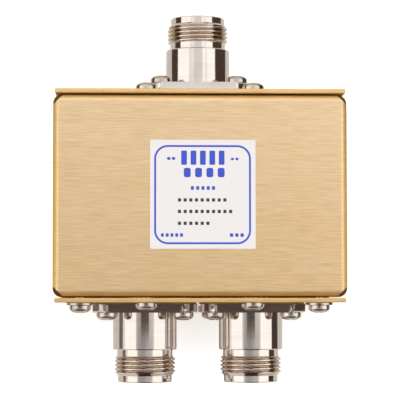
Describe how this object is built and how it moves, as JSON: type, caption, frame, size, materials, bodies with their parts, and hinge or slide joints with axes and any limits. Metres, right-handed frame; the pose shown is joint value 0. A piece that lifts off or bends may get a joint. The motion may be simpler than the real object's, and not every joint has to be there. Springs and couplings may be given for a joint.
{
  "type": "rf power splitter",
  "caption": "Folded sheet metal box with a threaded coaxial receptacle for the input on one end wall and receptacles for the outputs side by side on the other.",
  "frame": {"origin": "middle of the flat back face that the case lies on", "axes": "+Z out of the cover with the label, +Y out of the input receptacle, -Y out of the two output receptacles, +X to the right when the label is looked at with the input at the top"},
  "size_m": [0.0744, 0.0956, 0.0418],
  "materials": {
    "chromated_aluminium": "yellow chromate on brushed sheet",
    "nickel_plate": "nickel plated, turned",
    "stainless_steel": "plain",
    "gold_plate": "gold plated",
    "white_plastic": "natural fluoropolymer",
    "label_film": "printed film",
    "board_laminate": "solder mask",
    "brass": "turned",
    "ferrite": "sintered, matt",
    "copper_wire": "enamelled copper",
    "resistor_body": "moulded",
    "capacitor_body": "dipped"
  },
  "bodies": {
    "root": {"chassis": "chromated_aluminium", "cover": "chromated_aluminium", "label": "label_film", "input_shell": "nickel_plate", "input_insulator": "white_plastic", "input_contact": "gold_plate", "input_flange_screw_1": "stainless_steel", "input_flange_nut_1": "stainless_steel", "input_flange_screw_2": "stainless_steel", "input_flange_nut_2": "stainless_steel", "input_flange_screw_3": "stainless_steel", "input_flange_nut_3": "stainless_steel", "input_flange_screw_4": "stainless_steel", "input_flange_nut_4": "stainless_steel", "output_left_shell": "nickel_plate", "output_left_insulator": "white_plastic", "output_left_contact": "gold_plate", "output_left_flange_screw_1": "stainless_steel", "output_left_flange_nut_1": "stainless_steel", "output_left_flange_screw_2": "stainless_steel", "output_left_flange_nut_2": "stainless_steel", "output_left_flange_screw_3": "stainless_steel", "output_left_flange_nut_3": "stainless_steel", "output_left_flange_screw_4": "stainless_steel", "output_left_flange_nut_4": "stainless_steel", "output_right_shell": "nickel_plate", "output_right_insulator": "white_plastic", "output_right_contact": "gold_plate", "output_right_flange_screw_1": "stainless_steel", "output_right_flange_nut_1": "stainless_steel", "output_right_flange_screw_2": "stainless_steel", "output_right_flange_nut_2": "stainless_steel", "output_right_flange_screw_3": "stainless_steel", "output_right_flange_nut_3": "stainless_steel", "output_right_flange_screw_4": "stainless_steel", "output_right_flange_nut_4": "stainless_steel", "input_left_cover_screw": "stainless_steel", "input_right_cover_screw": "stainless_steel", "output_inner_left_cover_screw": "stainless_steel", "output_inner_right_cover_screw": "stainless_steel", "output_outer_left_cover_screw": "stainless_steel", "output_outer_right_cover_screw": "stainless_steel", "output_outer_left_washer": "stainless_steel", "output_outer_right_washer": "stainless_steel", "circuit_board": "board_laminate", "left_standoff": "brass", "left_board_screw": "stainless_steel", "right_standoff": "brass", "right_board_screw": "stainless_steel", "matching_core": "ferrite", "matching_winding": "copper_wire", "splitting_core": "ferrite", "splitting_winding": "copper_wire", "input_lead": "copper_wire", "output_left_lead": "copper_wire", "output_right_lead": "copper_wire", "isolation_resistor": "resistor_body", "matching_capacitor": "capacitor_body"}
  },
  "joints": []
}
